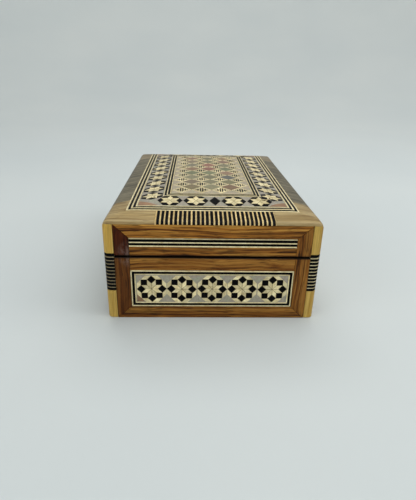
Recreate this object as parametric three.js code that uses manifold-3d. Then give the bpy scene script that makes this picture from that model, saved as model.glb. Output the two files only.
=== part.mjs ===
// Small inlaid wooden box with a hinged, gently domed lid.
// Millimetres, +Z up, long side along Y, hinges on the +X side.
// The origin is the middle of the underside.

import * as THREE from 'three';
import { mergeVertices } from 'three/addons/utils/BufferGeometryUtils.js';
import Module from 'manifold-3d';

const wasm = await Module();
wasm.setup();

// Overall size.
const WIDTH = 80;
const LENGTH = 123;
const HEIGHT = 44;
const SEAM_Z = 26;
const SEAM_GAP = 0.3;

// The lid's top falls towards its edges like a shallow cushion.
const DOME_REACH = 36.5;
const DOME_RADIUS = 152;
const DOME_BLEND = 3.6;
const DOME_STEP = 5.2;
const DOME_MARGIN = 3;

// Thicknesses.
const FACE_VENEER = 1.5;
const TOP_VENEER = 1;
const WALL = 6;
const BOTTOM = 4;
const LINING = 1;
const PAD = 2;
const JOINT = 0.1;
const SOFT_GAP = 0.3;

// Corner posts.
const POST = 3.8;
const POST_ROUND = 2;
const POST_ARC_STEPS = 4;
const STRIPE_LOW_Z = 12;

// End and side faces, as heights above the underside.
const STAR_LOW_Z = 5;
const STAR_HIGH_Z = 20.5;
const STRING_LOW_Z = 29.8;
const STRING_HIGH_Z = 33.4;
const END_STILE = 5.5;
const SIDE_STILE = 4.1;

// Lid top, as widths measured inward from the edge.
const BORDER = 7.7;
const OUTER_STRING = 3.9;
const STAR_BAND = 9;
const INNER_STRING = 3;
const STRIPE_HALF = 21.8;
const STRIPE_SHIFT = 0.6;
const LIGHT_CORNER = 19.5;
const LID_BOARD_Z = 35;

// Hinges.
const HINGE_PLACES = { front: -35, back: 35 };
const AXIS_OUT = 1.3;
const BARREL_R = 1.2;
const PIN_R = 0.5;
const PIN_CLEARANCE = 0.06;
const LEAF_LENGTH = 16;
const LEAF_WIDTH = 6.5;
const LEAF = 0.6;
const LEAF_DROP = 0.25;
const KNUCKLE_HALF = 2.7;
const KNUCKLE_GAP = 0.2;
const TAB_LAP = 1;
const MORTISE_GAP = 0.2;
const ROUND_SIDES = 16;

const HALF_X = WIDTH / 2;
const HALF_Y = LENGTH / 2;
const BASE_TOP = SEAM_Z - SEAM_GAP / 2;
const LID_BOTTOM = SEAM_Z + SEAM_GAP / 2;
const AXIS_X = HALF_X + AXIS_OUT;
const INSET = JOINT / 2;
const EDGE_Z = HEIGHT - DOME_REACH ** 2 / (2 * DOME_RADIUS);
const FRAME_TOP = EDGE_Z - TOP_VENEER - JOINT;
const CORE_X = HALF_X - FACE_VENEER - INSET;
const CORE_Y = HALF_Y - FACE_VENEER - INSET;
const ROOM_X = CORE_X - WALL;
const ROOM_Y = CORE_Y - WALL;

const FINISHES = {
  carcass: { color: 0x9c7a4f, roughness: 0.7, metalness: 0 },
  walnut: { color: 0x7d5023, roughness: 0.35, metalness: 0 },
  boxwood: { color: 0xbf9a52, roughness: 0.35, metalness: 0 },
  greywood: { color: 0x736b57, roughness: 0.4, metalness: 0 },
  stripes: { color: 0x7d7462, roughness: 0.3, metalness: 0 },
  mosaic: { color: 0xb9ad93, roughness: 0.25, metalness: 0 },
  velvet: { color: 0x7a1420, roughness: 0.95, metalness: 0 },
  brass: { color: 0xc59a45, roughness: 0.3, metalness: 1 },
};

const box = new THREE.Group();

function addMesh(parent, name, geometry, finish) {
  const mesh = new THREE.Mesh(geometry, new THREE.MeshStandardMaterial(FINISHES[finish]));
  mesh.name = name;
  parent.add(mesh);
  return mesh;
}

// A rectangle between two opposite corners.
function rectangle(x0, y0, x1, y1) {
  const shape = new THREE.Shape();
  shape.moveTo(x0, y0);
  shape.lineTo(x1, y0);
  shape.lineTo(x1, y1);
  shape.lineTo(x0, y1);
  shape.closePath();
  return shape;
}

function polygon(points) {
  return new THREE.Shape(points.map(([x, y]) => new THREE.Vector2(x, y)));
}

// A rectangular ring about the origin: outer half sizes, then its width.
function ring(halfX, halfY, width) {
  const shape = rectangle(-halfX, -halfY, halfX, halfY);
  const innerX = halfX - width;
  const innerY = halfY - width;
  shape.holes.push(rectangle(-innerX, -innerY, innerX, innerY));
  return shape;
}

function prism(shape, low, high) {
  const geometry = new THREE.ExtrudeGeometry(shape, {
    depth: high - low,
    bevelEnabled: false,
  });
  return geometry.translate(0, 0, low);
}

// Booleans.
function toSolid(geometry) {
  const bare = geometry.clone();
  bare.deleteAttribute('normal');
  bare.deleteAttribute('uv');
  const merged = mergeVertices(bare);
  return new wasm.Manifold(new wasm.Mesh({
    numProp: 3,
    vertProperties: new Float32Array(merged.attributes.position.array),
    triVerts: new Uint32Array(merged.index.array),
  }));
}

function toGeometry(solid) {
  const mesh = solid.getMesh();
  const geometry = new THREE.BufferGeometry();
  geometry.setAttribute('position', new THREE.BufferAttribute(mesh.vertProperties, 3));
  geometry.setIndex(new THREE.BufferAttribute(mesh.triVerts, 1));
  geometry.computeVertexNormals();
  return geometry;
}

// Height of the lid's top surface above a point of the plan.
function domeHeight(x, y) {
  const sideX = HALF_X - Math.abs(x);
  const sideY = HALF_Y - Math.abs(y);
  const overlap = Math.max(DOME_BLEND - Math.abs(sideX - sideY), 0) / DOME_BLEND;
  const nearest = Math.min(sideX, sideY) - overlap ** 2 * DOME_BLEND / 4;
  const fall = Math.max(DOME_REACH - nearest, 0);
  return HEIGHT - fall ** 2 / (2 * DOME_RADIUS);
}

// Everything under the lid's top surface, less a depth.
function underDome(depth) {
  const sizeX = WIDTH + 2 * DOME_MARGIN;
  const sizeY = LENGTH + 2 * DOME_MARGIN;
  const stepsX = Math.round(sizeX / DOME_STEP);
  const stepsY = Math.round(sizeY / DOME_STEP);
  const geometry = new THREE.BoxGeometry(sizeX, sizeY, 2, stepsX, stepsY, 1);
  const at = geometry.attributes.position;
  for (let i = 0; i < at.count; i += 1) {
    const top = domeHeight(at.getX(i), at.getY(i)) - depth;
    at.setZ(i, at.getZ(i) > 0 ? top : SEAM_Z);
  }
  return toSolid(geometry);
}

const underSurface = underDome(0);
const underVeneer = underDome(TOP_VENEER);
const underGlue = underDome(TOP_VENEER + JOINT);

// A veneer of the lid's top, cut to a plan outline and bent over the dome.
function topVeneer(shape) {
  const slab = toSolid(prism(shape, LID_BOARD_Z, HEIGHT + 1));
  return toGeometry(slab.intersect(underSurface).subtract(underVeneer));
}

function cutUnderVeneer(geometry) {
  return toGeometry(toSolid(geometry).intersect(underGlue));
}

// The rounded outer corner of the plan, from the side face to the end face.
function cornerArc() {
  const points = [];
  for (let i = 0; i <= POST_ARC_STEPS; i += 1) {
    const turn = i * Math.PI / 2 / POST_ARC_STEPS;
    const x = HALF_X - POST_ROUND + POST_ROUND * Math.cos(turn);
    const y = HALF_Y - POST_ROUND + POST_ROUND * Math.sin(turn);
    points.push([x, y]);
  }
  return points;
}

// An outline drawn in the +X +Y quarter, moved to the quarter given by two signs.
function inQuarter(points, signX, signY) {
  return polygon(points.map(([x, y]) => [signX * x, signY * y]));
}

// The plan of one corner post.
function postPlan(signX, signY) {
  const inX = HALF_X - POST + INSET;
  const inY = HALF_Y - POST + INSET;
  return inQuarter([[inX, inY], [HALF_X, inY], ...cornerArc(), [inX, HALF_Y]], signX, signY);
}

const CORNERS = {
  front_left: [-1, -1],
  front_right: [1, -1],
  back_left: [-1, 1],
  back_right: [1, 1],
};

// Carcass walls: the end walls sit in a rebate in the side walls.
function endWallPlan(sign) {
  const half = HALF_X - POST - INSET;
  return rectangle(-half, sign * ROOM_Y, half, sign * CORE_Y);
}

function sideWallPlan(sign) {
  const shoulder = HALF_X - POST + INSET;
  const stop = ROOM_Y - JOINT;
  const end = HALF_Y - POST - INSET;
  return polygon([
    [sign * ROOM_X, -stop],
    [sign * shoulder, -stop],
    [sign * shoulder, -end],
    [sign * CORE_X, -end],
    [sign * CORE_X, end],
    [sign * shoulder, end],
    [sign * shoulder, stop],
    [sign * ROOM_X, stop],
  ]);
}

function hingeMortises(low, high) {
  const half = LEAF_LENGTH / 2 + MORTISE_GAP;
  const inner = HALF_X - LEAF_WIDTH - MORTISE_GAP;
  return Object.values(HINGE_PLACES).map((y) => (
    toSolid(prism(rectangle(inner, y - half, AXIS_X, y + half), low, high))
  ));
}

function mortised(geometry, low, high) {
  const cut = hingeMortises(low, high).reduce((solid, slot) => solid.subtract(slot), toSolid(geometry));
  return toGeometry(cut);
}

const MORTISE_LOW = SEAM_Z - LEAF_DROP - LEAF - MORTISE_GAP;
const MORTISE_HIGH = SEAM_Z + LEAF_DROP + LEAF + MORTISE_GAP;

function addWalls(prefix, low, high) {
  addMesh(box, `${prefix}_wall_front`, prism(endWallPlan(-1), low, high), 'carcass');
  addMesh(box, `${prefix}_wall_back`, prism(endWallPlan(1), low, high), 'carcass');
  addMesh(box, `${prefix}_wall_left`, prism(sideWallPlan(-1), low, high), 'carcass');
  const hinged = mortised(prism(sideWallPlan(1), low, high), MORTISE_LOW, MORTISE_HIGH);
  addMesh(box, `${prefix}_wall_right`, hinged, 'carcass');
}

// Four outer faces. Each is drawn facing -Y and turned about Z to its side.
const FACES = {
  front: { turn: 0, half: HALF_X - POST, out: HALF_Y, stile: END_STILE, hinged: false },
  right: { turn: 1, half: HALF_Y - POST, out: HALF_X, stile: SIDE_STILE, hinged: true },
  back: { turn: 2, half: HALF_X - POST, out: HALF_Y, stile: END_STILE, hinged: false },
  left: { turn: 3, half: HALF_Y - POST, out: HALF_X, stile: SIDE_STILE, hinged: false },
};

// The edge at the seam, from one side to the other, with notches for the hinges.
function seamEdge(half, edgeZ, notchZ) {
  const notch = LEAF_LENGTH / 2 + MORTISE_GAP;
  const points = [[-half, edgeZ]];
  Object.values(HINGE_PLACES).forEach((place) => {
    points.push([place - notch, edgeZ], [place - notch, notchZ]);
    points.push([place + notch, notchZ], [place + notch, edgeZ]);
  });
  points.push([half, edgeZ]);
  return points;
}

function frameShape(face, seamZ, farZ, notchZ, windowLow, windowHigh) {
  const half = face.half - INSET;
  const plain = [[-half, seamZ], [half, seamZ]];
  const seam = face.hinged ? seamEdge(half, seamZ, notchZ) : plain;
  const shape = polygon([...seam, [half, farZ], [-half, farZ]]);
  const open = face.half - face.stile;
  shape.holes.push(rectangle(-open, windowLow, open, windowHigh));
  return shape;
}

function panelShape(face, low, high) {
  const half = face.half - face.stile - JOINT;
  return rectangle(-half, low + JOINT, half, high - JOINT);
}

function addFace(side) {
  const face = FACES[side];
  const turned = new THREE.Group();
  turned.rotation.z = face.turn * Math.PI / 2;
  box.add(turned);
  const upright = new THREE.Group();
  upright.rotation.x = Math.PI / 2;
  upright.position.y = FACE_VENEER - face.out;
  turned.add(upright);

  const baseFrame = frameShape(face, BASE_TOP, 0, MORTISE_LOW, STAR_LOW_Z, STAR_HIGH_Z);
  const starPanel = panelShape(face, STAR_LOW_Z, STAR_HIGH_Z);
  const lidFrame = frameShape(face, LID_BOTTOM, FRAME_TOP, MORTISE_HIGH, STRING_LOW_Z, STRING_HIGH_Z);
  const stringing = panelShape(face, STRING_LOW_Z, STRING_HIGH_Z);
  addMesh(upright, `base_frame_${side}`, prism(baseFrame, 0, FACE_VENEER), 'walnut');
  addMesh(upright, `base_star_panel_${side}`, prism(starPanel, 0, FACE_VENEER), 'mosaic');
  addMesh(upright, `lid_frame_${side}`, prism(lidFrame, 0, FACE_VENEER), 'walnut');
  addMesh(upright, `lid_stringing_${side}`, prism(stringing, 0, FACE_VENEER), 'stripes');
}

// Base: bottom board, walls, posts with a striped block, velvet lining.
function addBase() {
  const boardX = ROOM_X - JOINT;
  const boardY = ROOM_Y - JOINT;
  addMesh(box, 'base_bottom_board', prism(rectangle(-boardX, -boardY, boardX, boardY), 0, BOTTOM), 'carcass');
  addWalls('base', 0, BASE_TOP);
  Object.entries(CORNERS).forEach(([corner, [signX, signY]]) => {
    const plan = postPlan(signX, signY);
    addMesh(box, `base_post_${corner}`, prism(plan, 0, STRIPE_LOW_Z - INSET), 'boxwood');
    addMesh(box, `base_stripes_${corner}`, prism(plan, STRIPE_LOW_Z + INSET, BASE_TOP), 'stripes');
  });
}

// Velvet on the inner walls, and a thin pad across the floor or the lid.
function addLining(prefix, low, high, padLow) {
  const outerX = ROOM_X - SOFT_GAP;
  const outerY = ROOM_Y - SOFT_GAP;
  const padX = outerX - LINING - SOFT_GAP;
  const padY = outerY - LINING - SOFT_GAP;
  const pad = rectangle(-padX, -padY, padX, padY);
  addMesh(box, `${prefix}_lining`, prism(ring(outerX, outerY, LINING), low, high), 'velvet');
  addMesh(box, `${prefix}_pad`, prism(pad, padLow, padLow + PAD), 'velvet');
}

// Lid: walls, domed board, posts, lining, and the inlaid top.
function addLid() {
  addWalls('lid', LID_BOTTOM, LID_BOARD_Z - JOINT);
  const notchX = HALF_X - POST - INSET;
  const notchY = HALF_Y - POST - INSET;
  const plan = polygon([
    [-notchX, -CORE_Y], [notchX, -CORE_Y], [notchX, -notchY], [CORE_X, -notchY],
    [CORE_X, notchY], [notchX, notchY], [notchX, CORE_Y], [-notchX, CORE_Y],
    [-notchX, notchY], [-CORE_X, notchY], [-CORE_X, -notchY], [-notchX, -notchY],
  ]);
  addMesh(box, 'lid_top_board', cutUnderVeneer(prism(plan, LID_BOARD_Z, HEIGHT)), 'carcass');
  Object.entries(CORNERS).forEach(([corner, [signX, signY]]) => {
    const post = prism(postPlan(signX, signY), LID_BOTTOM, HEIGHT);
    addMesh(box, `lid_post_${corner}`, cutUnderVeneer(post), 'boxwood');
  });
}

// One light corner of the border, an L that follows the rounded corner post.
function cornerBorder(signX, signY) {
  const stripeEnd = STRIPE_HALF + INSET + signX * STRIPE_SHIFT;
  const innerX = HALF_X - BORDER + INSET;
  const innerY = HALF_Y - BORDER + INSET;
  const sideEnd = HALF_Y - LIGHT_CORNER + INSET;
  const along = [[innerX, sideEnd], [HALF_X, sideEnd]];
  const across = [[stripeEnd, HALF_Y], [stripeEnd, innerY], [innerX, innerY]];
  return inQuarter([...along, ...cornerArc(), ...across], signX, signY);
}

function addTop() {
  Object.entries(CORNERS).forEach(([corner, [signX, signY]]) => {
    addMesh(box, `lid_border_${corner}`, topVeneer(cornerBorder(signX, signY)), 'boxwood');
  });
  const innerX = HALF_X - BORDER + INSET;
  const innerY = HALF_Y - BORDER + INSET;
  const darkHalf = HALF_Y - LIGHT_CORNER - INSET;
  const stripeLow = STRIPE_SHIFT - STRIPE_HALF + INSET;
  const stripeHigh = STRIPE_SHIFT + STRIPE_HALF - INSET;
  [['left', -1], ['right', 1]].forEach(([side, sign]) => {
    const plan = rectangle(sign * innerX, -darkHalf, sign * HALF_X, darkHalf);
    addMesh(box, `lid_dark_border_${side}`, topVeneer(plan), 'greywood');
  });
  [['front', -1], ['back', 1]].forEach(([side, sign]) => {
    const plan = rectangle(stripeLow, sign * innerY, stripeHigh, sign * HALF_Y);
    addMesh(box, `lid_stripes_${side}`, topVeneer(plan), 'stripes');
  });

  const rings = [
    ['lid_outer_stringing', OUTER_STRING, 'stripes'],
    ['lid_star_band', STAR_BAND, 'mosaic'],
    ['lid_inner_stringing', INNER_STRING, 'stripes'],
  ];
  let edge = BORDER;
  rings.forEach(([name, width, finish]) => {
    const plan = ring(HALF_X - edge - INSET, HALF_Y - edge - INSET, width - JOINT);
    addMesh(box, name, topVeneer(plan), finish);
    edge += width;
  });
  const fieldX = HALF_X - edge - INSET;
  const fieldY = HALF_Y - edge - INSET;
  addMesh(box, 'lid_field_panel', topVeneer(rectangle(-fieldX, -fieldY, fieldX, fieldY)), 'mosaic');
}

// Brass hinges: a leaf in each half of the seam, knuckles outside, one pin.
function barrel(radius, low, high) {
  const geometry = new THREE.CylinderGeometry(radius, radius, high - low, ROUND_SIDES);
  return geometry.translate(AXIS_X, (low + high) / 2, SEAM_Z);
}

function leafSolid(low, knuckles) {
  const half = LEAF_LENGTH / 2;
  const inner = HALF_X - LEAF_WIDTH;
  const clear = AXIS_X - BARREL_R - KNUCKLE_GAP;
  let leaf = toSolid(prism(rectangle(inner, -half, clear, half), low, low + LEAF));
  knuckles.forEach(([start, end]) => {
    const tab = prism(rectangle(clear - TAB_LAP, start, AXIS_X, end), low, low + LEAF);
    leaf = leaf.add(toSolid(tab)).add(toSolid(barrel(BARREL_R, start, end)));
  });
  return leaf.subtract(toSolid(barrel(PIN_R + PIN_CLEARANCE, -half - 1, half + 1)));
}

function addHinge(place, y) {
  const half = LEAF_LENGTH / 2;
  const outer = KNUCKLE_HALF + KNUCKLE_GAP;
  const baseKnuckles = [[-half, -outer], [outer, half]];
  const lidKnuckles = [[-KNUCKLE_HALF, KNUCKLE_HALF]];
  const baseLeaf = leafSolid(SEAM_Z - LEAF_DROP - LEAF, baseKnuckles);
  const lidLeaf = leafSolid(SEAM_Z + LEAF_DROP, lidKnuckles);
  const pieces = {
    [`hinge_base_leaf_${place}`]: toGeometry(baseLeaf),
    [`hinge_lid_leaf_${place}`]: toGeometry(lidLeaf),
    [`hinge_pin_${place}`]: barrel(PIN_R, -half, half),
  };
  Object.entries(pieces).forEach(([name, geometry]) => {
    addMesh(box, name, geometry, 'brass').position.y = y;
  });
}

addBase();
addLining('base', BOTTOM + SOFT_GAP, BASE_TOP - SOFT_GAP, BOTTOM + SOFT_GAP);
addLid();
addLining('lid', LID_BOTTOM + SOFT_GAP, LID_BOARD_Z - SOFT_GAP, LID_BOARD_Z - SOFT_GAP - PAD);
Object.keys(FACES).forEach(addFace);
addTop();
Object.entries(HINGE_PLACES).forEach(([place, y]) => addHinge(place, y));

export default box;
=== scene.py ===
import math
import random

import bpy
from mathutils import Matrix, Vector


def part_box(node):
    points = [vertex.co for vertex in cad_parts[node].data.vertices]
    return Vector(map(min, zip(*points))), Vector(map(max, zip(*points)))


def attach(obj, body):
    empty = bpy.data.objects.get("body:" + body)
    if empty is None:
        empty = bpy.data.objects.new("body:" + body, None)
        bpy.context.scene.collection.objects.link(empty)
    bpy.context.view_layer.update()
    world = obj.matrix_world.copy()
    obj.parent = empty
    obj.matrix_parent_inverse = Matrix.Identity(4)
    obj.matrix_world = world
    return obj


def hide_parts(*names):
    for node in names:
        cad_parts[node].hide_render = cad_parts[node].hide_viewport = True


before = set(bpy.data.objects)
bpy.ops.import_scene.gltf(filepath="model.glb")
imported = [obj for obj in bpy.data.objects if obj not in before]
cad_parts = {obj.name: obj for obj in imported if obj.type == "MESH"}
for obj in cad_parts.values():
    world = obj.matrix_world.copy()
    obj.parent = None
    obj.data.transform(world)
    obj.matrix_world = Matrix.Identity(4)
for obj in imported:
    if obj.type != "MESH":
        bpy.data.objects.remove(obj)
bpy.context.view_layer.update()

# Driving dimensions, in millimetres. Meshes are made in millimetres and written in metres.
MM = 0.001
DOME_REACH = 36.5
DOME_RADIUS = 152.0
DOME_BLEND = 3.6
TOP_VENEER = 1.0
FACE_VENEER = 1.5
SIDE_FILLET = 2.6
END_FILLET = 1.3
EDGE_BAND = 1.1
SEAM_EASE = 0.2
# Reach of the painted shade beside the seam, in metres.
SEAM_SHADE_REACH = 0.0009
POST = 3.8
POST_ROUND = 2.0
GLUE = 0.07
BEVEL = 0.05
GLUE_DEPTH = 0.03
GROUND_DEPTH = 0.06
BIT_LIFT = 0.02
RING_THICK = 0.6
TILE_FLAT = 5.0
TILE_STEP = 1.5

BORDER = 7.7
JOINT_SLANT = 0.9
OUTER_STRING = 3.9
STAR_BAND = 9.0
INNER_STRING = 3.0

HEX_SIDE = 2.45
HEX_PITCH = 9.88
HEX_COLUMN_COUNT = 9
ROW_SHIFT = 0.9
ROW_PLACES = (-17.4, -7.35, 7.35, 17.4)
REPAIR = (3.2, 4.0)
CORNER_GAP = 0.15
CORNER_LONG = 7.6
CORNER_SHORT = 4.7
LOZENGE_SIDE = 4.6
ROW_LIFT = 0.06
ROSETTE_SIDE = 2.33
ROSETTE_PITCH = 11.46
FIELD_COLUMNS = 4
FIELD_ROWS = 9
STRIPE_COUNT = 27
STRIPE_BLACK = 0.65
POST_STRIPE_BLACK = 0.75
FACE_SLIPS = (0.13, 0.30, 0.14, 0.27, 0.16)
OUTER_SLIPS = (0.18, 0.23, 0.18, 0.23, 0.18)
INNER_SLIPS = (0.15, 0.275, 0.15, 0.275, 0.15)
PANEL_LINES = (0.5, 0.9, 0.5)
LEAF_DROP = 0.25
POST_STRIPE_COUNT = 10

random.seed(11)


def span(node):
    """Lowest and highest corner of a CAD node, in millimetres."""
    low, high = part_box(node)
    return low / MM, high / MM


HALF_X = span("base_post_front_right")[1].x
HALF_Y = span("base_post_back_left")[1].y
HEIGHT = span("lid_field_panel")[1].z
BASE_TOP = span("base_wall_front")[1].z
LID_BOTTOM = span("lid_wall_front")[0].z


# Surfaces. A surface turns sheet coordinates and a depth into a point.
def dome(x, y):
    """Height of the lid's top surface."""
    side_x = HALF_X - abs(x)
    side_y = HALF_Y - abs(y)
    overlap = max(DOME_BLEND - abs(side_x - side_y), 0) / DOME_BLEND
    nearest = min(side_x, side_y) - overlap**2 * DOME_BLEND / 4
    fall = max(DOME_REACH - nearest, 0)
    return HEIGHT - fall**2 / (2 * DOME_RADIUS)


def lid_surface(x, y, depth):
    return Vector((x, y, dome(x, y) - depth))


EDGE_Z = dome(HALF_X, 0)


def fillet_radius(outward_x):
    """Radius of the sanded top edge: outward_x is 1 on a long side and 0 on an end."""
    return END_FILLET + (SIDE_FILLET - END_FILLET) * outward_x**2


def fillet_inset(z, radius):
    """How far the sanded edge has drawn in at a height."""
    rise = min(max(z - (EDGE_Z - radius), 0), radius)
    return radius - math.sqrt(radius**2 - rise**2)


def face_measures(node, side):
    """Half the width of a CAD node on one face, its foot and its top."""
    low, high = span(node)
    across = 1 if side in ("left", "right") else 0
    return (high[across] - low[across]) / 2, low.z, high.z


def face_surface(side):
    """The outer face on one side: u runs to the right as seen from outside, v up."""
    turn = {"front": 0, "right": 1, "back": 2, "left": 3}[side]
    out = HALF_Y if turn % 2 == 0 else HALF_X
    radius = fillet_radius(turn % 2)
    rotation = Matrix.Rotation(turn * math.pi / 2, 3, "Z")
    return lambda u, v, depth: rotation @ Vector((u, depth + fillet_inset(v, radius) - out, v))


# Mesh building.
class Build:
    """Gathers many small closed solids into one mesh."""

    def __init__(self):
        self.points = []
        self.faces = []
        self.slots = []
        self.tones = []
        self.tints = []

    def loft(self, loops, slot=0, tone=None, tint=(1, 1, 1), ring=False):
        """A solid through equal loops of points: capped at both ends, or closed to a ring."""
        start = len(self.points)
        count = len(loops[0])
        tone = random.random() if tone is None else tone
        points = [point for loop in loops for point in loop]
        first_cap = list(range(count))
        last_cap = [(len(loops) - 1) * count + i for i in first_cap]
        faces = [] if ring else [first_cap[::-1], last_cap]
        for row in range(len(loops) if ring else len(loops) - 1):
            low, high = row * count, (row + 1) % len(loops) * count
            for i in range(count):
                j = (i + 1) % count
                faces.append([low + i, low + j, high + j, high + i])
        if volume(points, faces) < 0:
            faces = [face[::-1] for face in faces]
        self.points += points
        self.faces += [[start + i for i in face] for face in faces]
        self.slots += [slot] * len(faces)
        self.tones += [tone] * len(points)
        self.tints += [tint] * len(points)

    def finish(self, name, body, materials, slot_name, nodes=(), sharp=28):
        """Makes the object, gives it its body and hides the CAD nodes it stands for."""
        mesh = bpy.data.meshes.new(name)
        mesh.from_pydata([Vector(p) * MM for p in self.points], [], self.faces)
        for material in materials:
            mesh.materials.append(material)
        mesh.polygons.foreach_set("material_index", self.slots)
        tone = mesh.attributes.new("tone", "FLOAT", "POINT")
        tone.data.foreach_set("value", self.tones)
        tint = mesh.attributes.new("tint", "FLOAT_COLOR", "POINT")
        tint.data.foreach_set("color", [c for t in self.tints for c in (*t, 1.0)])
        mesh.shade_smooth()
        mesh.set_sharp_from_angle(angle=math.radians(sharp))
        mesh.validate()
        return hand_over(new_object(name, mesh), body, nodes)


def new_object(name, data):
    """An object in the scene."""
    thing = bpy.data.objects.new(name, data)
    bpy.context.scene.collection.objects.link(thing)
    return thing


def hand_over(piece, body, nodes=()):
    """Gives a piece its body, and hides the CAD nodes it stands for."""
    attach(piece, body)
    if nodes:
        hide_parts(*nodes)
    return piece


def volume(points, faces):
    """Six times the signed volume inside a closed set of faces."""
    total = 0
    for face in faces:
        first = Vector(points[face[0]])
        for i in range(1, len(face) - 1):
            total += first.dot(Vector(points[face[i]]).cross(Vector(points[face[i + 1]])))
    return total


def inset(outline, distance):
    """A convex outline moved inwards by a distance."""
    area = sum(a[0] * b[1] - b[0] * a[1] for a, b in zip(outline, outline[1:] + outline[:1]))
    turn = 1 if area > 0 else -1
    corners = []
    count = len(outline)
    for i in range(count):
        before = Vector(outline[i]) - Vector(outline[i - 1])
        after = Vector(outline[(i + 1) % count]) - Vector(outline[i])
        before.normalize()
        after.normalize()
        normal_a = Vector((-before.y, before.x)) * turn
        normal_b = Vector((-after.y, after.x)) * turn
        bisector = normal_a + normal_b
        reach = distance * 2 / max(bisector.length_squared, 0.25)
        corners.append(tuple(Vector(outline[i]) + bisector * reach))
    return corners


def split_edges(outline, longest):
    """The same outline with its long edges cut into equal lengths."""
    points = []
    for a, b in zip(outline, outline[1:] + outline[:1]):
        parts = max(1, math.ceil((Vector(b) - Vector(a)).length / longest))
        points += [tuple(between(a, b, i / parts)) for i in range(parts)]
    return points


def tile(build, surface, outline, slot, tone=None, tint=(1, 1, 1), thick=0.5):
    """One small inlay piece, its upper edges eased. A large one follows the surface's curve."""
    size = max((Vector(a) - Vector(b)).length for a in outline for b in outline)
    if size > TILE_FLAT:
        outline = split_edges(outline, TILE_STEP)
    outer = inset(outline, GLUE / 2)
    top = inset(outline, GLUE / 2 + BEVEL)
    middle = sum((Vector(point) for point in top), Vector((0, 0))) / len(top)
    loops = [
        [surface(u, v, thick) for u, v in outer],
        [surface(u, v, BEVEL) for u, v in outer],
        [surface(u, v, 0) for u, v in top],
    ]
    if size > TILE_FLAT:
        for share in (0.3, 0.6, 0.85):
            loops.append([surface(*between(point, middle, share), 0) for point in top])
    build.loft(loops, slot, tone, tint)


def even(count):
    """Even steps from 0 to 1."""
    return [i / count for i in range(count + 1)]


def edged(count, edge):
    """Even steps between two small ones at the ends, from 0 to 1."""
    return [0] + [edge + (1 - 2 * edge) * share for share in even(count)] + [1]


def between(a, b, share):
    return Vector(a).lerp(Vector(b), share)


def patch(
    build, surface, corners, steps, slot=0, tone=None, thick=1.0, drop=0.0, bevel=BEVEL, tint=(1, 1, 1)
):
    """A four-cornered piece that follows a curved surface. Corners go round it."""
    a, b, c, d = corners
    length = max((Vector(b) - Vector(a)).length, (Vector(c) - Vector(d)).length)
    width = max((Vector(d) - Vector(a)).length, (Vector(c) - Vector(b)).length)
    edge_s = bevel / length
    edge_t = bevel / width
    loops = []
    for s in edged(steps[0], edge_s):
        start = between(a, b, s)
        end = between(d, c, s)
        loop = []
        for t in edged(steps[1], edge_t):
            u, v = between(start, end, t)
            border = s in (0, 1) or t in (0, 1)
            loop.append(surface(u, v, drop + (bevel if border else 0)))
        loop.append(surface(*end, drop + thick))
        loop.append(surface(*start, drop + thick))
        loops.append(loop)
    build.loft(loops, slot, tone, tint)


def rectangle(u0, v0, u1, v1):
    return [(u0, v0), (u1, v0), (u1, v1), (u0, v1)]


def mitred(outer, inner):
    """The four pieces between two four-cornered outlines."""
    return [[outer[i], outer[(i + 1) % 4], inner[(i + 1) % 4], inner[i]] for i in range(4)]


def ring(half_u, half_v, width):
    """Four mitred strips round a rectangle, a glue line apart. The half sizes are the outer ones."""
    in_u, in_v = half_u - width, half_v - width
    pieces = mitred(rectangle(-half_u, -half_v, half_u, half_v), rectangle(-in_u, -in_v, in_u, in_v))
    return [inset(piece, GLUE / 2) for piece in pieces]


def polar(radius, degrees):
    angle = math.radians(degrees)
    return (radius * math.cos(angle), radius * math.sin(angle))


def moved(outline, centre, turn=0.0):
    """An outline turned by some degrees and moved to a centre."""
    cos, sin = math.cos(math.radians(turn)), math.sin(math.radians(turn))
    return [(centre[0] + u * cos - v * sin, centre[1] + u * sin + v * cos) for u, v in outline]


# Materials. Each is a small node tree made by one function.
def srgb(red, green, blue):
    """A colour given as 0 to 255 screen values, as linear light."""
    def linear(value):
        value /= 255
        return value / 12.92 if value <= 0.04045 else ((value + 0.055) / 1.055) ** 2.4
    return (linear(red), linear(green), linear(blue), 1.0)


def grey(value):
    return (value, value, value, 1.0)


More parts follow.
